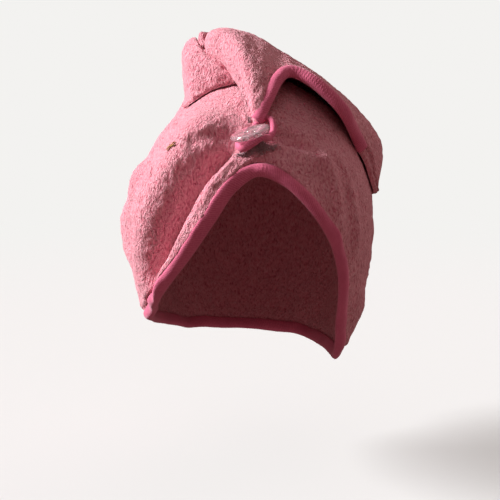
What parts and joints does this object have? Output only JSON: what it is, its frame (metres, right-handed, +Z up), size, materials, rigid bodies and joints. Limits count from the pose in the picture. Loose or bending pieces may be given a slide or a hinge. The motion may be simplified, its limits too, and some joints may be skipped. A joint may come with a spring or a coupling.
{
  "type": "hair turban towel",
  "caption": "Soft terry hair-drying turban: a hood with a bound edge whose twisted tail wraps up over the crown and hooks on a button.",
  "frame": {"origin": "top of the head hollow, on its inner face, where the hood sits on the crown of a head", "axes": "+Z up, -Y the way the face looks, +X to the right of someone who looks at the face"},
  "size_m": [0.1863, 0.2311, 0.2371],
  "materials": {
    "terry": "short fleecy terry pile",
    "binding": "smooth knitted strip",
    "clear_plastic": "clear polished acrylic",
    "thread": "wound sewing thread"
  },
  "bodies": {
    "root": {"hood": "terry", "hood_binding": "binding", "tail_back": "terry", "tail_fold": "terry", "tail_front": "terry", "tail_binding": "binding", "button": "clear_plastic", "button_thread": "thread", "loop": "binding"}
  },
  "joints": []
}
